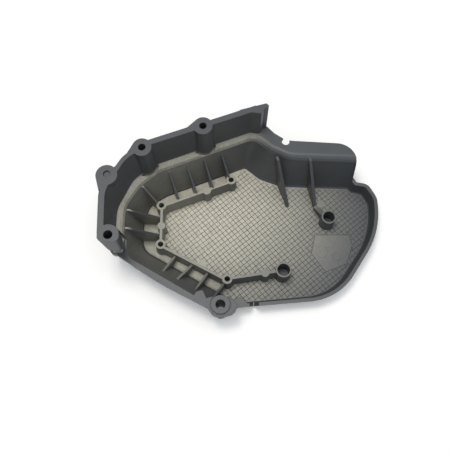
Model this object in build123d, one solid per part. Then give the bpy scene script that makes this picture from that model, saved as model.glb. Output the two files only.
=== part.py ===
"""Moulded sprocket cover: one thin-walled nylon moulding, open side up.

Millimetres.  +X along the length, towards the low rounded end; +Y towards the side with the
high flange; +Z up, out of the open side.  The origin is under the middle of the whole part,
at the height of the flat outer face it lies on.
"""
from build123d import *
import os
from math import cos, hypot, radians, sin, sqrt

# driving sizes
PLATE_T = 3.0          # floor plate
WALL_T = 3.2           # walls, measured flat across in plan
LOW_RIM_Z = 17.0       # top of the low rim round the far end
MID_RIM_Z = 33.0       # top of the rim along the lower left
SHELF_Z = 43.0         # ledge and wing
FLANGE_Z = 79.0        # seating face of the high flange
SHELF_ROUND = 6.5      # rounding where the lower wall turns into the ledge
FOOT_ROUND = 2.5       # inner fillet at the foot of the walls
BASE_ROUND = 3.5       # outer fillet round the bottom
FLANGE_W = 5.2         # width of the flat flange
FLANGE_LIP = 5.0       # depth of the flange before it thins to the wall

# corners of the inner outline, clockwise: where it stands on the floor, and where the
# wall meets the rounding under the ledge; the third number is the corner radius
FLOOR_LINE = [
    (-93.5, 9.0, 14.0), (-88.0, 24.0, 14.0), (-73.0, 34.3, 14.0), (2.5, 64.5, 5.0),
    (17.0, 52.2, 8.0), (37.0, 44.6, 20.0), (100.5, 42.2, 1.5), (104.0, 38.4, 1.5),
    (113.2, 36.6, 5.0), (119.3, 25.6, 14.0), (119.3, -5.0, 78.0), (79.3, -62.8, 48.0),
    (-5.9, -70.6, 5.0), (-93.5, -20.1, 16.0),
]
SHELF_LINE = [
    (-104.2, 9.0, 24.0), (-92.0, 28.5, 24.0), (-76.0, 42.0, 22.0), (9.0, 75.0, 9.0),
    (24.0, 62.5, 12.0), (42.0, 54.2, 24.0), (101.5, 52.0, 2.0), (106.0, 41.8, 2.0),
    (117.4, 39.6, 6.0), (124.7, 27.0, 16.0), (124.6, -7.0, 84.0), (84.3, -70.5, 52.0),
    (-29.0, -80.4, 6.0), (-104.2, -36.3, 14.0),
]

# inner edge of the high wall, from the lower left boss up and round to the far end
WALL_FOOT = [
    (-111.0, -30.0, 0.0), (-111.0, 5.0, 26.0), (-98.0, 33.5, 26.0),
    (-80.0, 47.6, 30.0), (10.0, 82.6, 0.0),
]
WALL_TOP = [
    (-114.6, -30.0, 0.0), (-116.0, 8.0, 26.0), (-100.0, 37.0, 26.0),
    (-81.0, 49.5, 30.0), (10.0, 82.4, 0.0),
]

# outer edge of the flange, beside the inner edge above
FLANGE_EDGE = [
    (-119.8, -30.0, 0.0), (-121.2, 8.5, 24.0), (-102.8, 39.2, 24.0), (-83.5, 53.8, 28.0),
    (10.0, 87.9, 0.0),
]

# screw bosses on the flange
BOSS_NW = (-87.3, 47.4)
BOSS_N = (-35.8, 67.9)
BOSS_R = 8.3
BOSS_HOLE_R = 3.2
SEAT_DROP = 6.0        # how far the foot of those bosses lies below the ledge
MOAT_R = 10.4          # the ledge stops this far from their centres
WRAP_R = 9.4           # wall round the room for the screw head
WRAP_FOOT_Z = 14.0
HEAD_R = 7.2           # room for the screw head under each boss
BOSS_SW = (-110.8, -30.9)
BOSS_SW_R = 8.8
BOSS_SW_HOLE_R = 3.7
BOSS_SW_CUT_Y = -36.6  # flat side of that boss
BOSS_SW_BLOCK = 26.0   # depth of its full-width head
BOSS_SW_HOLE_DEPTH = 22.0
BOSS_SW_STEM = (-109.6, -26.5)
BOSS_SW_STEM_R = 5.0
BOSS_SW_PAD = (-112.2, -27.6)
BOSS_SW_PAD_R = 5.6
BOSS_SW_STEP = [(-114.0, -32.4, 0.8), (-114.0, -20.0, 0.0), (-105.3, -20.0, 0.0), (-105.3, -32.4, 0.8)]
BOSS_SW_STEP_H = 4.0
# straight roots that carry the outline of each boss into the edge of the flange
BOSS_ROOTS = [
    [(-94.2, 52.0), (-101.0, 39.0), (-90.0, 44.0)], [(-84.4, 55.2), (-74.5, 57.3), (-82.0, 48.0)],
    [(-41.0, 74.4), (-49.0, 66.6), (-38.0, 65.0)], [(-33.2, 75.8), (-22.5, 76.2), (-32.0, 68.0)],
    [(-112.4, 30.2), (-104.2, 35.0), (-110.0, 25.0)], [(-124.2, 19.0), (-120.9, 7.0), (-116.0, 18.0)],
]

EAR = (-115.5, 21.6)   # ear with the locating dimple
EAR_R = 9.1
EAR_DEPTH = 9.0
DIMPLE = (-115.2, 22.6)
DIMPLE_R = 3.2
DIMPLE_DEPTH = 2.0

TAB = (-20.7, -77.6)   # screw tab at the bottom
TAB_RING_R = 8.1
TAB_HOLE_R = 4.2
TAB_RAISE = 0.5        # ring above the face round it
TAB_GROOVE = 0.9       # groove round the ring, width and depth
TAB_T = 8.5
TAB_FOOT_Z = 5.0       # lower end of the round post
TAB_FOOT_R = 6.6
TAB_EDGE = [(-33.0, -72.0, 1.0), (-26.7, -70.6, 2.0), (-13.7, -70.6, 2.0), (-8.6, -74.6, 1.0),
            (-6.2, -78.0, 1.0), (-8.2, -82.6, 2.5), (-10.8, -85.2, 2.0), (-16.5, -86.7, 4.0),
            (-26.6, -87.0, 6.0), (-31.6, -79.8, 4.0)]
RIM_PAD = [(-45.0, -72.4, 0.5), (-41.5, -66.4, 1.5), (-36.0, -64.8, 2.0), (-31.5, -74.8, 2.0),
           (-35.0, -77.4, 0.5)]
RIM_PAD_FOOT_Z = 24.0

# inner bosses, walls and ribs
INNER_Z = 19.0
SCREW_BOSS_R = 4.6
SCREW_PILOT_R = 2.45
SCREW_DEPTH = 14.0
BOSS_A = (-75.6, 18.6)
BOSS_B = (-11.2, 44.3)
BOSS_C = (-75.0, -19.2)
BOSS_D = (-14.9, -51.5)
INNER_WALL_T = 2.4
INNER_FOOT_T = 4.2
PADS = [(-33.9, 33.4, 4.0), (-74.9, -1.5, 3.6), (18.8, -46.1, 3.7)]
FLOOR_PAD = (74.2, 26.0, 4.1)
TUBE_Z = 20.0
TUBE_F = (35.2, -43.4)
TUBE_F_R = 7.0
TUBE_F_BORE_R = 5.6
TUBE_G = (78.2, 6.8)
TUBE_G_R = 6.6
TUBE_G_BORE_R = 5.3
TUBE_DEPTH = 16.0
RIB_T = 1.7
RIB_START = 7.5
GUSSET_T = 2.6
SW_FLOOR_PAD = (-38.5, -34.0, 5.0)

THIN_RIBS = [
    ((-71.5, 54.5), (-59.6, 24.2)), ((-56.0, 61.8), (-43.2, 30.1)), ((-40.0, 68.0), (-27.8, 35.8)),
    ((-24.3, 73.5), (-13.0, 46.5)), ((-96.5, 33.2), (-79.0, 20.6)), ((-110.0, 6.6), (-76.0, 6.2)),
    ((-110.0, -10.6), (-76.0, -10.4)),
]
LOWER_RIBS = [
    ((-72.8, -46.8), (-61.1, -27.5)), ((-60.7, -54.5), (-45.2, -35.5)),
    ((-42.7, -61.8), (-31.6, -43.2)), ((-27.2, -69.0), (-16.7, -52.5)),
]
LOWER_RIB_Z = 22.0     # at the outer wall
LOWER_RIB_END_Z = 13.0 # at the inner wall
LOWER_RIB_T = 2.0
INNER_WALLS = [
    ((-73.0, 18.4), (-12.5, 42.0)), ((-75.2, 17.0), (-75.0, -18.0)),
    ((-73.5, -21.3), (-16.0, -52.2)), ((-14.0, -51.2), (33.0, -43.9)),
]
GUSSETS = [((30.2, 57.5), (42.5, 22.9), 2.0), ((60.0, 57.0), (68.1, 21.2), 4.0)]
TUBE_LINK = ((67.7, 21.8), (75.0, 10.5))
TUBE_LINK_T = 3.6

# areas where the bowl is lower: far end with the low rim, lower left with the middle rim
LOW_AREA = [(102.6, 130.0, 0), (170.0, 130.0, 0), (170.0, -130.0, 0), (-8.7, -130.0, 0),
            (-8.7, -20.0, 0), (102.6, -20.0, 0)]
MID_AREA = [(-8.69, -20.0, 0), (-8.69, -130.0, 0), (-140.0, -130.0, 0), (-140.0, 13.4, 0),
            (-96.0, -26.0, 0), (-96.0, -20.0, 0)]

# middle rim along the lower left, and the plate that joins it to the high wall
MID_PATH = [(-28.2, -76.2, 0.0), (-72.2, -53.4, 300.0), (-106.7, -30.3, 0.0)]
MID_PLATE = [(-114.5, -30.5, 0), (-114.0, -4.0, 0), (-90.0, -20.0, 0), (-90.0, -44.0, 0),
             (-107.5, -35.9, 1.0), (-110.5, -34.1, 1.0)]
MID_POST = [(-111.2, -30.0, 0), (-111.2, -4.0, 0)]

# thickened end of the high wall
END_PILLAR = [(-2.0, 78.2, 0.0), (-4.0, 83.4, 0.0), (19.2, 90.0, 1.2), (22.0, 87.4, 1.0),
              (16.9, 84.2, 0.8), (14.8, 79.9, 1.5), (6.0, 81.1, 3.0)]

# wing and its notch
WING_END_X = 102.6
WING_EDGE = [(22.0, 87.4, 0.0), (28.2, 80.6, 6.0), (36.4, 75.0, 0.0),
             (44.0, 72.6, 0.0), (102.8, 69.0, 18.0)]
NOTCH = (38.7, 71.9)
NOTCH_R = 3.6

# drain gap in the low rim, a notch with sloping sides, and the plate beside it
DRAIN_X = 8.7
DRAIN_TOP_W = 8.2
DRAIN_SILL_W = 1.0
DRAIN_SILL_Z = 4.5
DRAIN_Y = -62.0        # inner end of the notch; it runs out through the wall
DRAIN_CORNER = [(-9.0, -75.9, 0), (-9.0, -69.5, 0), (-3.2, -66.9, 0), (4.7, -75.3, 0)]


# outlines
def left_of(p, q):
    """Unit vector to the left of the way from p to q."""
    length = hypot(q[0] - p[0], q[1] - p[1])
    return ((p[1] - q[1]) / length, (q[0] - p[0]) / length)


def moved_corner(a, b, c, t):
    """Corner b of a-b-c after both sides move left by t."""
    n1 = left_of(a, b)
    n2 = left_of(b, c)
    k = t / (1 + n1[0] * n2[0] + n1[1] * n2[1])
    turns_left = n1[0] * n2[1] - n1[1] * n2[0] > 0
    r = b[2] - t if turns_left else b[2] + t
    return (b[0] + (n1[0] + n2[0]) * k, b[1] + (n1[1] + n2[1]) * k, max(r, 0.4))


def grown(corners, t):
    """A clockwise outline with every side moved outwards by t."""
    count = len(corners)
    return [moved_corner(corners[i - 1], corners[i], corners[(i + 1) % count], t)
            for i in range(count)]


def between(low, high, share):
    """Outline part of the way from one to the other."""
    return [tuple(u + (v - u) * share for u, v in zip(a, b)) for a, b in zip(low, high)]


def band(path, width):
    """Closed outline of a strip that lies to the left of an open path."""
    first = left_of(path[0], path[1])
    last = left_of(path[-2], path[-1])
    outer = [(path[0][0] + first[0] * width, path[0][1] + first[1] * width, 0.0)]
    for i in range(1, len(path) - 1):
        outer.append(moved_corner(path[i - 1], path[i], path[i + 1], width))
    outer.append((path[-1][0] + last[0] * width, path[-1][1] + last[1] * width, 0.0))
    return outer + path[::-1]


def ring(corners, z):
    """Wire through rounded corners at height z."""
    count = len(corners)
    starts, middles, ends = [], [], []
    for i in range(count):
        a, b, c = corners[i - 1], corners[i], corners[(i + 1) % count]
        d1 = (Vector(a[0], a[1]) - Vector(b[0], b[1])).normalized()
        d2 = (Vector(c[0], c[1]) - Vector(b[0], b[1])).normalized()
        half_cos = sqrt((1 + d1.dot(d2)) / 2)
        half_sin = sqrt((1 - d1.dot(d2)) / 2)
        at = Vector(b[0], b[1], z)
        reach = b[2] * half_cos / half_sin
        starts.append(at + d1 * reach)
        ends.append(at + d2 * reach)
        middles.append(at + (d1 + d2).normalized() * (b[2] / half_sin - b[2]))
    edges = []
    for i in range(count):
        if corners[i][2] > 0:
            edges.append(Edge.make_three_point_arc(starts[i], middles[i], ends[i]))
        edges.append(Edge.make_line(ends[i], starts[(i + 1) % count]))
    return Wire(edges)


def stack(sections):
    """Solid through outlines at rising heights, straight from each to the next."""
    return Solid.make_loft([ring(corners, z) for corners, z in sections], True)


def slab(corners, z0, z1):
    """Outline pulled straight up from z0 to z1."""
    return stack([(corners, z0), (corners, z1)])


def post(x, y, z0, z1, r0, r1):
    """Round post, r0 at its foot and r1 at its top."""
    if r0 == r1:
        return Pos(x, y, z0) * Cylinder(r0, z1 - z0, align=(Align.CENTER, Align.CENTER, Align.MIN))
    return Pos(x, y, z0) * Cone(r0, r1, z1 - z0, align=(Align.CENTER, Align.CENTER, Align.MIN))


# bowl
ROUND_Z = SHELF_Z - SHELF_ROUND


def inner_line(z):
    share = (z - PLATE_T) / (ROUND_Z - PLATE_T)
    return between(FLOOR_LINE, SHELF_LINE, min(max(share, 0.0), 1.0))


def bowl_body(extra, round_r, z_bottom, foot_r, sign):
    """Closed body whose side stands `extra` outside the inner line, rounded at the foot and
    turned outwards with radius round_r at the ledge."""
    sections = []
    for angle in (0, 35, 65, 90):
        z = z_bottom + foot_r * (1 - cos(radians(angle)))
        sections.append((grown(inner_line(z), extra - foot_r * (1 - sin(radians(angle)))), z))
    for angle in (0, 25, 48, 70, 90):
        z = ROUND_Z + round_r * sin(radians(angle))
        out = extra + round_r * (1 - cos(radians(angle)))
        sections.append((grown(SHELF_LINE, out), z))
    return stack(sections)


def cavity():
    body = bowl_body(0.0, SHELF_ROUND, PLATE_T, FOOT_ROUND, 1)
    return body + slab(grown(SHELF_LINE, SHELF_ROUND), SHELF_Z - 0.01, SHELF_Z + 2)


def outside():
    return bowl_body(WALL_T, SHELF_ROUND - WALL_T, 0.0, BASE_ROUND, 1)


def core():
    """Body between the two faces of the wall, used to end ribs inside the wall."""
    return bowl_body(WALL_T / 2, SHELF_ROUND - WALL_T / 2, PLATE_T / 2, FOOT_ROUND, 1)


def trims():
    """What is cut off the bowl: low rim on the far side, middle rim along the lower left."""
    return slab(LOW_AREA, LOW_RIM_Z, FLANGE_Z) + middle_trim()


def middle_trim():
    return slab(MID_AREA, MID_RIM_Z, FLANGE_Z)


def drain_cut():
    """Notch in the low rim with sloping sides, down to a low sill."""
    slope = (DRAIN_TOP_W - DRAIN_SILL_W) / 2 / (LOW_RIM_Z - DRAIN_SILL_Z)
    rise = LOW_RIM_Z + 1 - DRAIN_SILL_Z
    low = DRAIN_SILL_W / 2
    high = low + slope * rise
    profile = Polygon((DRAIN_X - low, 0), (DRAIN_X + low, 0), (DRAIN_X + high, rise),
                      (DRAIN_X - high, rise), align=None)
    plane = Plane(origin=(0, DRAIN_Y, DRAIN_SILL_Z), x_dir=(1, 0, 0), z_dir=(0, -1, 0))
    return extrude(plane * profile, amount=10 * WALL_T)


# high wall, shelf and wing
def shelf_outline():
    outer = grown_path(WALL_FOOT, WALL_T / 2)
    return outer + WING_EDGE + [(WING_END_X, 30, 0), (-85, 10, 0), (-85, -30, 0)]


def shelf():
    """Level strip between the lower and the upper wall, and the wing that carries it on."""
    plate = slab(shelf_outline(), SHELF_Z - WALL_T, SHELF_Z)
    return plate - post(NOTCH[0], NOTCH[1], 0, FLANGE_Z, NOTCH_R, NOTCH_R) - notch_mouth()


def seats():
    """Thicker ground under the ledge, round the foot of the two screw columns."""
    low = SHELF_Z - SEAT_DROP - WALL_T
    rings = both_bosses(low, SHELF_Z, MOAT_R + WALL_T / 2)
    return rings & slab(shelf_outline(), low, SHELF_Z)


def moats():
    """Gap between those columns and the end of the ledge, inside the high wall."""
    low = SHELF_Z - SEAT_DROP
    side = WALL_FOOT + [(WING_END_X, 30, 0), (-85, 10, 0), (-85, -30, 0)]
    return both_bosses(low, SHELF_Z + 1, MOAT_R) & slab(side, low, SHELF_Z + 1)


def both_bosses(z0, z1, r):
    return post(BOSS_NW[0], BOSS_NW[1], z0, z1, r, r) + post(BOSS_N[0], BOSS_N[1], z0, z1, r, r)


def grown_path(path, t):
    """Open path moved to its left by t."""
    return band(path, t)[:len(path)]


def notch_mouth():
    x, y = NOTCH
    return slab([(x - 1.9, y, 0), (x - 1.9, y + 9, 0), (x + 3.6, y + 9, 0), (x + 3.6, y, 0)],
                0, FLANGE_Z)


def high_wall():
    wall = stack([(band(WALL_FOOT, WALL_T), SHELF_Z - WALL_T), (band(WALL_TOP, WALL_T), FLANGE_Z)])
    under = stack([(band(WALL_TOP, WALL_T - 0.4), FLANGE_Z - FLANGE_LIP - 2.5),
                   (band(WALL_TOP, FLANGE_W), FLANGE_Z - FLANGE_LIP)])
    return wall + under


def middle_rim():
    """Flat rim along the lower left, and the plate that joins it to the high wall."""
    strip = stack([(band(MID_PATH, WALL_T), MID_RIM_Z - FLANGE_LIP - 2),
                   (band(MID_PATH, FLANGE_W), MID_RIM_Z - FLANGE_LIP)])
    strip += slab(band(MID_PATH, FLANGE_W), MID_RIM_Z - FLANGE_LIP, MID_RIM_Z)
    plate = slab(MID_PLATE, MID_RIM_Z - WALL_T, MID_RIM_Z)
    post_wall = slab(band(MID_POST, WALL_T - 0.4), MID_RIM_Z - WALL_T, SHELF_Z)
    return strip + plate + post_wall


def end_pillar():
    """Thickened end of the high wall, with its bevelled far corner."""
    return slab(END_PILLAR, SHELF_Z - WALL_T, FLANGE_Z)


def flange():
    """Flat seating strip, and the straight roots that lead it round the bosses and the ear."""
    z = FLANGE_Z - FLANGE_LIP
    strip = slab(FLANGE_EDGE + WALL_TOP[::-1], z, FLANGE_Z)
    for root in BOSS_ROOTS:
        strip += extrude(Pos(0, 0, z) * Polygon(*root, align=None), amount=FLANGE_LIP)
    return strip


def columns():
    """Screw columns on the high wall, the lower left one with its flat side, and the ear."""
    body = both_bosses(SHELF_Z - SEAT_DROP - WALL_T, FLANGE_Z, BOSS_R)
    x, y = EAR
    low = FLANGE_Z - EAR_DEPTH
    ear = post(x, y, low, FLANGE_Z, EAR_R - 0.4, EAR_R)
    ear += post(x + 1.5, y - 1.0, low - 2 * EAR_DEPTH, low, EAR_R / 2, EAR_R - 1.6)
    return body + ear + lower_left_boss()


def lower_left_boss():
    """Boss with a flat front: a deep tapering head on a slimmer stem, which stands on a low
    step of the rim."""
    x, y = BOSS_SW
    r = BOSS_SW_R
    front = BOSS_SW_CUT_Y
    step_z = FLANGE_Z - BOSS_SW_BLOCK
    face = [(x - r, front, 4.0), (x - r, y + r, r - 0.4), (x + r, y + r, r - 0.4), (x + r, front, 4.0)]
    neck = [(x - r + 4.2, front + 0.4, 2.5), (x - r + 4.2, y + r - 1, 5.0),
            (x + r - 1, y + r - 1, 5.0), (x + r - 1, front + 0.4, 2.5)]
    x, y = BOSS_SW_STEM
    stem = post(x, y, MID_RIM_Z - WALL_T, step_z + 1, BOSS_SW_STEM_R, BOSS_SW_STEM_R)
    x, y = BOSS_SW_PAD
    pad = post(x, y, MID_RIM_Z - 2 * WALL_T, MID_RIM_Z, BOSS_SW_PAD_R, BOSS_SW_PAD_R)
    step = slab(BOSS_SW_STEP, MID_RIM_Z - WALL_T, MID_RIM_Z + BOSS_SW_STEP_H)
    return stack([(neck, step_z), (face, FLANGE_Z)]) + stem + pad + step


def column_holes():
    """Screw holes of the flange, the room for their heads, and the locating dimple."""
    cut = both_bosses(0, FLANGE_Z + 1, BOSS_HOLE_R)
    cut += both_bosses(-1, SHELF_Z - SEAT_DROP - WALL_T, HEAD_R)
    cut += post(BOSS_SW[0], BOSS_SW[1], FLANGE_Z - BOSS_SW_HOLE_DEPTH, FLANGE_Z + 1,
                BOSS_SW_HOLE_R, BOSS_SW_HOLE_R)
    cut += post(DIMPLE[0], DIMPLE[1], FLANGE_Z - DIMPLE_DEPTH, FLANGE_Z + 1, DIMPLE_R - 0.4, DIMPLE_R)
    return cut


def head_scallops():
    """Wall that wraps the room for the two screw heads, on the inside of the bowl."""
    return both_bosses(WRAP_FOOT_Z, SHELF_Z - SEAT_DROP, WRAP_R)


# bottom tab
def with_tab(body):
    """Screw tab: a flat plate level with the rim, a round post and its raised ring."""
    x, y = TAB
    face = MID_RIM_Z
    top = face + TAB_RAISE
    wide = TAB_RING_R + TAB_GROOVE
    body += slab(TAB_EDGE, face - TAB_T, face)
    body += slab(RIM_PAD, RIM_PAD_FOOT_Z, face)
    body += post(x, y, TAB_FOOT_Z, face - TAB_T / 2, TAB_FOOT_R, TAB_RING_R)
    body += post(x, y, face - TAB_T / 2, top, TAB_RING_R, TAB_RING_R)
    groove = post(x, y, face - TAB_GROOVE, top + 1, wide, wide)
    groove -= post(x, y, face - TAB_GROOVE, top + 1, TAB_RING_R, TAB_RING_R)
    return body - groove


def drain_corner():
    """Plate level with the low rim that fills the corner between tab and drain gap."""
    return slab(DRAIN_CORNER, LOW_RIM_Z - WALL_T, LOW_RIM_Z)


# inside of the bowl
def upright(p, q, top_p, top_q, thick, level=0.5, bottom=PLATE_T / 2):
    """Flat rib standing on the floor from p to q: its top runs level at first, then slopes
    from top_p to top_q."""
    length = hypot(q[0] - p[0], q[1] - p[1])
    along = ((q[0] - p[0]) / length, (q[1] - p[1]) / length, 0)
    plane = Plane(origin=(p[0], p[1], 0), x_dir=along, z_dir=(along[1], -along[0], 0))
    profile = Polygon((0, bottom), (0, top_p), (level, top_p), (length, top_q),
                      (length, bottom), align=None)
    return extrude(plane * profile, amount=thick / 2, both=True)


def drafted_wall(p, q, top_t, foot_t, z1, z0=PLATE_T - 0.5):
    """Straight wall, thicker at its foot than at its top."""
    side = left_of(p, q)

    def box(t):
        return [(p[0] + side[0] * t / 2, p[1] + side[1] * t / 2, 0),
                (q[0] + side[0] * t / 2, q[1] + side[1] * t / 2, 0),
                (q[0] - side[0] * t / 2, q[1] - side[1] * t / 2, 0),
                (p[0] - side[0] * t / 2, p[1] - side[1] * t / 2, 0)]
    return stack([(box(foot_t), z0), (box(top_t), z1)])


def inner_walls():
    body = None
    for p, q in INNER_WALLS:
        piece = drafted_wall(p, q, INNER_WALL_T, INNER_FOOT_T, INNER_Z)
        body = piece if body is None else body + piece
    for x, y in (BOSS_A, BOSS_B, BOSS_C, BOSS_D):
        body += post(x, y, PLATE_T - 0.5, INNER_Z, SCREW_BOSS_R + 0.7, SCREW_BOSS_R)
    for x, y, r in PADS:
        body += post(x, y, PLATE_T - 0.5, INNER_Z, r + 0.7, r)
    return body


def tubes():
    body = post(TUBE_F[0], TUBE_F[1], PLATE_T - 0.5, TUBE_Z, TUBE_F_R + 0.5, TUBE_F_R)
    body += post(TUBE_G[0], TUBE_G[1], PLATE_T - 0.5, TUBE_Z, TUBE_G_R + 0.5, TUBE_G_R)
    return body


def pilots():
    cut = None
    for x, y in (BOSS_A, BOSS_B, BOSS_C, BOSS_D):
        piece = post(x, y, INNER_Z - SCREW_DEPTH, INNER_Z + 1, SCREW_PILOT_R, SCREW_PILOT_R)
        cut = piece if cut is None else cut + piece
    cut += post(TUBE_F[0], TUBE_F[1], TUBE_Z - TUBE_DEPTH, TUBE_Z + 1, TUBE_F_BORE_R, TUBE_F_BORE_R)
    cut += post(TUBE_G[0], TUBE_G[1], TUBE_Z - TUBE_DEPTH, TUBE_Z + 1, TUBE_G_BORE_R, TUBE_G_BORE_R)
    return cut


def thin_ribs():
    """Ribs from the ledge down to the inner walls."""
    body = None
    for p, q in THIN_RIBS:
        piece = upright(p, q, ROUND_Z + 1.5, INNER_Z, RIB_T, RIB_START)
        body = piece if body is None else body + piece
    return body


def lower_ribs():
    """Low ribs that slope from the lower left wall down to the inner wall."""
    body = None
    for p, q in LOWER_RIBS:
        piece = upright(p, q, LOWER_RIB_Z, LOWER_RIB_END_Z, LOWER_RIB_T)
        body = piece if body is None else body + piece
    return body


def gussets():
    """Two triangular ribs under the wing, the far one carried on to the tube."""
    body = upright(TUBE_LINK[0], TUBE_LINK[1], PLATE_T + 5.5, PLATE_T + 11.0, TUBE_LINK_T)
    for p, q, toe in GUSSETS:
        body += upright(p, q, SHELF_Z - 1.5, PLATE_T + toe, GUSSET_T, 4.0)
    return body


def inside_features():
    body = inner_walls() + thin_ribs() + lower_ribs() + gussets() + tubes()
    for x, y, r in (FLOOR_PAD, SW_FLOOR_PAD):
        body += post(x, y, PLATE_T - 0.5, PLATE_T + 0.6, r, r)
    return body + head_scallops()


# the whole part
def sprocket_cover():
    hollow = cavity()
    shell = outside() - trims() - hollow - drain_cut()
    body = with_tab(shell + (middle_rim() - hollow)) + drain_corner()
    ledge = shelf() + seats() - hollow - middle_trim() - moats()
    body += ledge + high_wall() + end_pillar() + flange() + columns()
    body += inside_features() & core()
    body -= column_holes()
    body -= pilots()
    body -= post(TAB[0], TAB[1], -1, FLANGE_Z, TAB_HOLE_R, TAB_HOLE_R)
    return body


if __name__ == "__main__":
    cover = sprocket_cover()
    solids = sorted(cover.solids(), key=lambda s: s.volume)
    print("solids", len(solids), [round(s.volume) for s in solids])
    os.makedirs("parts", exist_ok=True)
    export_step(cover, "parts/sprocket_cover.step")
    box = cover.bounding_box()
    print(box.min, box.max, cover.volume, cover.is_valid)
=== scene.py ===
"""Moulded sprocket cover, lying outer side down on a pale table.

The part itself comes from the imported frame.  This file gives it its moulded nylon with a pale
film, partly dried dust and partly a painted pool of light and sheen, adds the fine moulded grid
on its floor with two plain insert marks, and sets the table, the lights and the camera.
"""
import bpy
from math import hypot, radians
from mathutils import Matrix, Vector


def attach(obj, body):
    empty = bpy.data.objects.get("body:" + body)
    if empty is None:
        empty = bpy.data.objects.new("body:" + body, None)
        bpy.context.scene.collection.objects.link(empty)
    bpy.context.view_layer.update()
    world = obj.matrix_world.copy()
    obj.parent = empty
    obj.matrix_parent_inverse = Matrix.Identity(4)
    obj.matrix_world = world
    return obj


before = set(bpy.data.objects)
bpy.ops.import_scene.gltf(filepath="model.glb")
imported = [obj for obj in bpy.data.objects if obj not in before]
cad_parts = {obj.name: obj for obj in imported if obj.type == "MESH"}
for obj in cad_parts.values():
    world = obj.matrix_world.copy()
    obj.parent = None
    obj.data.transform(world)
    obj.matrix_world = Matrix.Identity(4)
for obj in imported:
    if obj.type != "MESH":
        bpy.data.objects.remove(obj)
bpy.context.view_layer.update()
MM = 0.001
BODY = "root"
COVER = bpy.data.objects["sprocket_cover"]

# moulded grid on the floor, in millimetres
GRID_PITCH = 4.0
GRID_TURN = 38.5        # degrees
GRID_CELLS = 64
GRID_MIDDLE = (12.0, -4.0)
GRID_FOOT_Z = 3.02      # bottom of the grooves, just above the floor plate
PAD_RISE = 0.34         # height of the pads over the grooves
GROOVE_HALF = 0.21      # half the width of a groove at its top
GRID_BACK = 0.5         # how deep the grid's body reaches into the floor plate
PAD_LEAST_AREA = 2.2    # smaller offcuts at the border get no pad, in square millimetres
PAD_LEAST_SIDE = 1.1
FLOOR_LINE = [
    (-75.2, 17.8), (-12.0, 43.0), (-8.0, 50.0), (0.0, 63.0),
    (3.5, 63.0), (14.0, 54.6), (19.5, 51.0), (37.0, 44.6), (45.0, 43.8), (100.5, 42.0),
    (104.0, 38.4), (111.0, 37.0), (114.5, 34.0), (118.4, 26.5), (119.3, 18.0), (118.2, 0.0),
    (115.0, -10.0), (108.0, -21.5), (98.0, -36.0), (91.0, -46.0), (83.0, -54.5), (74.0, -60.0),
    (62.0, -63.8), (40.0, -66.3), (0.0, -70.0), (-6.0, -70.4), (-12.0, -67.0), (-20.5, -62.0),
    (-15.2, -51.8), (-75.2, -20.4),
]
# smooth patch without grid, at the far end
PATCH_LINE = [
    (67.0, -5.0), (99.5, -5.0), (101.0, -16.0), (95.0, -33.0), (75.0, -41.0), (63.0, -23.0),
]
# plain round marks of mould inserts on the patch: name, middle and radius
INSERT_MARKS = [
    ("insert_mark_large", (72.7, -21.6), 5.6),
    ("insert_mark_small", (85.7, -26.5), 3.8),
]
MARK_MIDDLE_Z = 3.14    # the marks stand just proud of the patch
MARK_HEIGHT = 0.6
MARK_RIM = 0.35         # width of the flat ring
MARK_SLOPE = 0.12       # width and depth of the step inside it
MARK_SINK = 0.16

# where the film of dried dust and painted light lies, in metres; a pair is where a change starts
# and where it ends
# the film's middle and reach are those of a painted pool of light and sheen, fading out from the
# middle of the closed end
DUST_AND_SHEEN_MIDDLE = (-0.034, 0.034, 0.010)
DUST_AND_SHEEN_REACH = (0.018, 0.166)         # whole film nearer to the middle, none farther off
FLOOR_FILM_Z = (0.021, 0.024)       # floor, bays and inner walls lie below
RAISED_Z = (0.006, 0.012)           # from the floor to what stands up from it
RAISED_FILM = 0.58                  # share of the film on top of inner walls and bosses
LOW_RIM_Y = (-0.062, -0.058)        # the low rim along the near side
LOW_RIM_FILM = 0.15
LEDGE_FOOT_Z = (0.0345, 0.0375)
LEDGE_TOP_Z = (0.0435, 0.0440)
LEDGE_END_X = (-0.004, 0.026)       # where the ledge runs out into the wing
LEDGE_FILM = 0.64
# the walls get the film of dust and painted light at the closed end only
WALL_END_X = (-0.070, 0.005)        # the walls are dusty at the closed end only
WALL_FILM = 0.36
WALL_LAST_FILM = 0.15
# the two upright tubes get none of the film of dust and painted light inside: middle and bore
# radius, in millimetres
TUBE_BORES = [((35.2, -43.4), 5.7), ((78.2, 6.8), 5.4)]
BORE_EDGE = 0.3


# Colours and materials

def srgb(code):
    """Hex colour to linear values."""
    parts = [int(code[i:i + 2], 16) / 255 for i in (1, 3, 5)]
    return [c / 12.92 if c <= 0.04045 else ((c + 0.055) / 1.055) ** 2.4 for c in parts] + [1.0]


def add(tree, kind, settings=None, links=None):
    """Add one node, set its values and link its sockets."""
    node = tree.nodes.new(kind)
    for name, value in (settings or {}).items():
        if isinstance(name, int) or name in node.inputs.keys():
            node.inputs[name].default_value = value
        else:
            setattr(node, name, value)
    for name, source in (links or {}).items():
        tree.links.new(source, node.inputs[name])
    return node


def new_material(name):
    material = bpy.data.materials.new(name)
    material.use_nodes = True
    material.node_tree.nodes.clear()
    return material, material.node_tree


def faded(tree, value, low, high, to_low=0.0, to_high=1.0):
    """Smooth step of a value from low to high."""
    step = add(tree, "ShaderNodeMapRange",
               {"interpolation_type": "SMOOTHSTEP", "From Min": low, "From Max": high,
                "To Min": to_low, "To Max": to_high}, {"Value": value})
    return step.outputs["Result"]


def times(tree, first, *others):
    """Product of two or more values."""
    result = first
    for other in others:
        result = add(tree, "ShaderNodeMath", {"operation": "MULTIPLY"},
                     {0: result, 1: other}).outputs[0]
    return result


def larger(tree, a, b):
    return add(tree, "ShaderNodeMath", {"operation": "MAXIMUM"}, {0: a, 1: b}).outputs[0]


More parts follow.
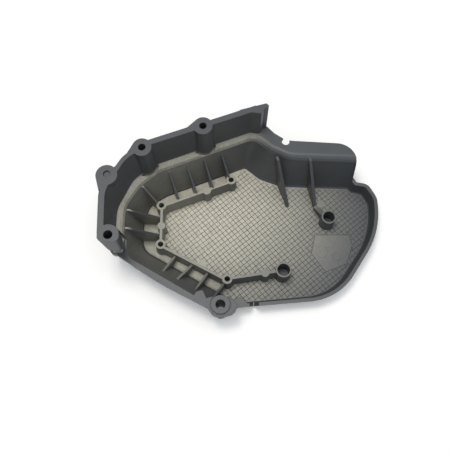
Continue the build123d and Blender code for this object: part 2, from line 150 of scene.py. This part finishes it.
def clear_of(tree, at, middle, radius):
    """Zero inside an upright round hole, one outside it."""
    plan = add(tree, "ShaderNodeVectorMath", {"operation": "MULTIPLY", 1: (1.0, 1.0, 0.0)},
               {0: at})
    away = add(tree, "ShaderNodeVectorMath",
               {"operation": "DISTANCE", 1: (middle[0] * MM, middle[1] * MM, 0.0)},
               {0: plan.outputs["Vector"]})
    return faded(tree, away.outputs["Value"], (radius - BORE_EDGE) * MM, radius * MM)


def dust_and_sheen_film(tree, at):
    """Where a pale film lies, partly dried road dust and partly painted light, a painted pool of
    light and sheen: on what faces up inside the bowl and on the ledge, thinner on the bowl's
    walls, most in the middle of the closed end, less and less towards the low open end."""
    place = add(tree, "ShaderNodeSeparateXYZ", {}, {"Vector": at})
    x, y, z = (place.outputs[axis] for axis in "XYZ")
    facing = add(tree, "ShaderNodeNewGeometry")
    slope = add(tree, "ShaderNodeSeparateXYZ", {}, {"Vector": facing.outputs["Normal"]})
    up = slope.outputs["Z"]
    reach = add(tree, "ShaderNodeVectorMath", {"operation": "DISTANCE", 1: DUST_AND_SHEEN_MIDDLE}, {0: at})
    near = faded(tree, reach.outputs["Value"], *DUST_AND_SHEEN_REACH, 1.0, 0.0)
    # what stands up from the floor gets less of the film of dust and painted light, and the low
    # rim hardly any
    share = faded(tree, y, *LOW_RIM_Y, LOW_RIM_FILM, RAISED_FILM)
    raised = add(tree, "ShaderNodeMapRange",
                 {"interpolation_type": "SMOOTHSTEP", "From Min": RAISED_Z[0],
                  "From Max": RAISED_Z[1], "To Min": 1.0}, {"Value": z, "To Max": share})
    floor = times(tree, faded(tree, z, *FLOOR_FILM_Z, 1.0, 0.0), near,
                  raised.outputs["Result"], faded(tree, up, 0.80, 0.98))
    for middle, radius in TUBE_BORES:
        floor = times(tree, floor, clear_of(tree, at, middle, radius))
    # the ledge and its rounded edge: dust and a painted highlight
    below_ledge_top = faded(tree, z, *LEDGE_TOP_Z, 1.0, 0.0)
    ledge = times(tree, faded(tree, z, *LEDGE_FOOT_Z), below_ledge_top,
                  faded(tree, x, *LEDGE_END_X, LEDGE_FILM, 0.0), faded(tree, up, 0.25, 0.85))
    # a thin film of dust and painted light on steep and upright faces, but on none that look down
    wall = times(tree, faded(tree, up, -0.05, 0.00), faded(tree, up, 0.45, 0.75, WALL_FILM, 0.0),
                 near, faded(tree, x, *WALL_END_X, 1.0, WALL_LAST_FILM), below_ledge_top)
    return larger(tree, larger(tree, floor, ledge), wall)


def moulded_nylon():
    """Glass-filled nylon, injection moulded: charcoal, satin, with a fine spark-eroded grain
    and a pale film on what faces up inside the bowl, partly dried dust and partly a painted pool
    of light and sheen."""
    material, tree = new_material("glass_filled_nylon_moulded")
    place = add(tree, "ShaderNodeTexCoord")
    at = place.outputs["Object"]
    # grain of the tool's eroded surface, about 0.5 mm
    grain = add(tree, "ShaderNodeTexNoise", {"Scale": 2000.0, "Detail": 2.0}, {"Vector": at})
    # slow change of tone over about 25 mm, from flow and handling
    flow = add(tree, "ShaderNodeTexNoise", {"Scale": 40.0, "Detail": 4.0, "Roughness": 0.6},
               {"Vector": at})
    # patchy film of dust and painted light, from 2 mm blots
    blots = add(tree, "ShaderNodeTexNoise", {"Scale": 420.0, "Detail": 4.0, "Roughness": 0.65},
                {"Vector": at})
    patchy = faded(tree, blots.outputs["Fac"], 0.30, 0.70, 0.72, 1.0)
    film = times(tree, dust_and_sheen_film(tree, at), patchy)
    tone = add(tree, "ShaderNodeMixRGB", {"Color1": srgb("#393c40"), "Color2": srgb("#46494d")},
               {"Fac": flow.outputs["Fac"]})
    # pale warm colour of the dust and of the painted pool of light and sheen
    dust_and_sheen_colour = add(tree, "ShaderNodeMixRGB", {"Color2": srgb("#c1bcaa")},
                {"Fac": film, "Color1": tone.outputs["Color"]})
    rough = add(tree, "ShaderNodeMapRange", {"To Min": 0.42, "To Max": 0.52},
                {"Value": flow.outputs["Fac"]})
    # moulded edges are about 0.4 mm round
    edge = add(tree, "ShaderNodeBevel", {"Radius": 0.0004, "samples": 6})
    bump = add(tree, "ShaderNodeBump", {"Strength": 0.25, "Distance": 0.0001},
               {"Height": grain.outputs["Fac"], "Normal": edge.outputs["Normal"]})
    body = add(tree, "ShaderNodeBsdfPrincipled", {"IOR": 1.53},
               {"Base Color": dust_and_sheen_colour.outputs["Color"], "Roughness": rough.outputs["Result"],
                "Normal": bump.outputs["Normal"]})
    add(tree, "ShaderNodeOutputMaterial", {}, {"Surface": body.outputs["BSDF"]})
    return material


def table_paper():
    """Matt white background paper.  The camera sees it as plain white where no shadow falls."""
    material, tree = new_material("white_background_paper")
    ray = add(tree, "ShaderNodeLightPath")
    paper = add(tree, "ShaderNodeBsdfDiffuse", {"Color": srgb("#f4f3f2")})
    seen = add(tree, "ShaderNodeMath", {"operation": "MULTIPLY", 1: 0.10},
               {0: ray.outputs["Is Camera Ray"]})
    glow = add(tree, "ShaderNodeEmission", {"Color": (1, 1, 1, 1)}, {"Strength": seen.outputs[0]})
    both = add(tree, "ShaderNodeAddShader", {}, {0: paper.outputs[0], 1: glow.outputs[0]})
    add(tree, "ShaderNodeOutputMaterial", {}, {"Surface": both.outputs[0]})
    return material


# Modelling tools

def nothing_selected():
    if bpy.context.object and bpy.context.object.mode != "OBJECT":
        bpy.ops.object.mode_set(mode="OBJECT")
    bpy.ops.object.select_all(action="DESELECT")


def pick_faces(mesh, wanted):
    """Select the faces of the mesh that pass a test, in edit mode, and count them."""
    bpy.ops.mesh.select_all(action="DESELECT")
    bpy.ops.object.mode_set(mode="OBJECT")
    found = 0
    for face in mesh.polygons:
        face.select = bool(wanted(face))
        found += face.select
    bpy.ops.object.mode_set(mode="EDIT")
    return found


def plan_middle(face):
    """Middle of a face in plan, in millimetres."""
    return face.center[0] / MM, face.center[1] / MM


def inside(line, x, y):
    """Whether a point lies inside a closed line."""
    within = False
    for (x0, y0), (x1, y1) in zip(line, line[1:] + line[:1]):
        if (y0 > y) != (y1 > y) and x < x0 + (y - y0) * (x1 - x0) / (y1 - y0):
            within = not within
    return within


def cut_along(mesh, line):
    """Cut the sheet along a closed line, one side at a time, and only where that side runs."""
    # faces whose middle lies this far past the side's ends, or off the side, can be cut by it
    past, off = GRID_PITCH * 0.6, GRID_PITCH * 0.75
    for (x0, y0), (x1, y1) in zip(line, line[1:] + line[:1]):
        length = hypot(x1 - x0, y1 - y0)
        along = ((x1 - x0) / length, (y1 - y0) / length)
        middle = ((x0 + x1) / 2, (y0 + y1) / 2)

        def close(face):
            x, y = plan_middle(face)
            dx, dy = x - middle[0], y - middle[1]
            return (abs(dx * along[0] + dy * along[1]) < length / 2 + past
                    and abs(dy * along[0] - dx * along[1]) < off)

        if pick_faces(mesh, close):
            bpy.ops.mesh.bisect(plane_co=(middle[0] * MM, middle[1] * MM, 0),
                                plane_no=(-along[1], along[0], 0))


def finish_piece(piece, material):
    """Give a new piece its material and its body."""
    piece.data.materials.clear()
    piece.data.materials.append(material)
    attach(piece, BODY)


def floor_grid(material):
    """The moulded grid on the floor: flat pads of 4 mm pitch with narrow grooves between."""
    nothing_selected()
    bpy.ops.mesh.primitive_grid_add(
        x_subdivisions=GRID_CELLS, y_subdivisions=GRID_CELLS, size=GRID_CELLS * GRID_PITCH * MM,
        location=(GRID_MIDDLE[0] * MM, GRID_MIDDLE[1] * MM, GRID_FOOT_Z * MM),
        rotation=(0, 0, radians(GRID_TURN)))
    grid = bpy.context.object
    grid.name = "floor_grid"
    bpy.ops.object.transform_apply(location=True, rotation=True, scale=True)
    mesh = grid.data
    bpy.ops.object.mode_set(mode="EDIT")
    bpy.ops.mesh.select_mode(type="FACE")
    cut_along(mesh, FLOOR_LINE)
    cut_along(mesh, PATCH_LINE)

    def unwanted(face):
        corners = [mesh.vertices[v].co for v in face.vertices]
        sides = [max(c[i] for c in corners) - min(c[i] for c in corners) for i in (0, 1)]
        sliver = face.area < PAD_LEAST_AREA * MM * MM or min(sides) < PAD_LEAST_SIDE * MM
        x, y = plan_middle(face)
        return not inside(FLOOR_LINE, x, y) or (sliver and not inside(PATCH_LINE, x, y))

    pick_faces(mesh, unwanted)
    bpy.ops.mesh.delete(type="FACE")
    # the smooth patch becomes one plate, level with the pads
    pick_faces(mesh, lambda face: inside(PATCH_LINE, *plan_middle(face)))
    bpy.ops.mesh.dissolve_faces()
    bpy.ops.mesh.select_all(action="SELECT")
    bpy.ops.mesh.normals_make_consistent(inside=False)
    bpy.ops.object.mode_set(mode="OBJECT")
    back = grid.modifiers.new("back", "SOLIDIFY")
    back.thickness = GRID_BACK * MM
    back.offset = -1.0
    bpy.ops.object.modifier_apply(modifier=back.name)
    bpy.ops.object.mode_set(mode="EDIT")
    middle_z = (GRID_FOOT_Z - GRID_BACK / 2) * MM
    pick_faces(mesh, lambda face: face.normal[2] > 0.9 and face.center[2] > middle_z)
    bpy.ops.mesh.inset(thickness=GROOVE_HALF * MM, depth=PAD_RISE * MM, use_individual=True)
    bpy.ops.object.mode_set(mode="OBJECT")
    finish_piece(grid, material)


def insert_mark(name, middle, radius, material):
    """Plain shallow disc that a round mould insert leaves on the smooth patch."""
    nothing_selected()
    bpy.ops.mesh.primitive_cylinder_add(
        vertices=40, radius=radius * MM, depth=MARK_HEIGHT * MM,
        location=(middle[0] * MM, middle[1] * MM, MARK_MIDDLE_Z * MM))
    mark = bpy.context.object
    mark.name = name
    bpy.ops.object.transform_apply(location=True, rotation=True, scale=True)
    bpy.ops.object.mode_set(mode="EDIT")
    bpy.ops.mesh.select_mode(type="FACE")
    pick_faces(mark.data, lambda face: face.normal[2] > 0.9)
    bpy.ops.mesh.inset(thickness=MARK_RIM * MM, depth=0.0)
    bpy.ops.mesh.inset(thickness=MARK_SLOPE * MM, depth=-MARK_SINK * MM)
    bpy.ops.object.mode_set(mode="OBJECT")
    finish_piece(mark, material)


# Camera, lights and table

def make_camera():
    """View from the near side, 20 degrees off straight down."""
    data = bpy.data.cameras.new("camera")
    data.sensor_width = 36.0
    data.lens = 47.79
    camera = bpy.data.objects.new("camera", data)
    bpy.context.scene.collection.objects.link(camera)
    camera.location = (-0.016, -0.1889, 0.5330)
    camera.rotation_euler = (radians(20.0), 0.0, 0.0)
    bpy.context.scene.camera = camera


def make_table(material):
    nothing_selected()
    bpy.ops.mesh.primitive_plane_add(size=6.0, location=(0, 0, 0))
    table = bpy.context.object
    table.name = "table"
    table.data.materials.append(material)


def area_light(name, place, size, power, colour):
    """Round soft light at a place, turned to the middle of the table."""
    data = bpy.data.lights.new(name, "AREA")
    data.shape = "DISK"
    data.size = size
    data.energy = power
    data.color = colour
    lamp = bpy.data.objects.new(name, data)
    bpy.context.scene.collection.objects.link(lamp)
    lamp.location = place
    lamp.rotation_euler = (-Vector(place)).to_track_quat("-Z", "Y").to_euler()


def make_room():
    """White ceiling: bright overhead, dimmer and dimmer towards the horizon.  The camera
    itself sees plain white beyond the table."""
    world = bpy.data.worlds.new("soft_room")
    bpy.context.scene.world = world
    world.use_nodes = True
    tree = world.node_tree
    tree.nodes.clear()
    place = add(tree, "ShaderNodeTexCoord")
    way = add(tree, "ShaderNodeSeparateXYZ", {}, {"Vector": place.outputs["Generated"]})
    up = add(tree, "ShaderNodeMath", {"operation": "MAXIMUM", 1: 0.0}, {0: way.outputs["Z"]})
    falling = add(tree, "ShaderNodeMath", {"operation": "POWER", 1: 6.0}, {0: up.outputs[0]})
    level = add(tree, "ShaderNodeMapRange", {"To Min": 0.24, "To Max": 2.40},
                {"Value": falling.outputs[0]})
    sky = add(tree, "ShaderNodeBackground", {"Color": (0.93, 0.97, 1.0, 1.0)},
              {"Strength": level.outputs["Result"]})
    white = add(tree, "ShaderNodeBackground", {"Color": (1.0, 1.0, 1.0, 1.0)})
    ray = add(tree, "ShaderNodeLightPath")
    seen = add(tree, "ShaderNodeMixShader", {},
               {0: ray.outputs["Is Camera Ray"], 1: sky.outputs[0], 2: white.outputs[0]})
    add(tree, "ShaderNodeOutputWorld", {}, {"Surface": seen.outputs[0]})


nylon = moulded_nylon()
COVER.data.materials.clear()
COVER.data.materials.append(nylon)
floor_grid(nylon)
for mark_name, mark_middle, mark_radius in INSERT_MARKS:
    insert_mark(mark_name, mark_middle, mark_radius, nylon)

make_camera()
make_table(table_paper())
# warm ceiling lamp, nearly overhead, and weak daylight from the near side
area_light("ceiling_lamp", (-0.20, 0.12, 1.20), 0.35, 5.0, (1.0, 0.95, 0.86))
area_light("window_light", (0.20, -0.80, 0.55), 0.70, 0.8, (0.88, 0.94, 1.0))
make_room()

bpy.context.scene.view_settings.view_transform = "Standard"
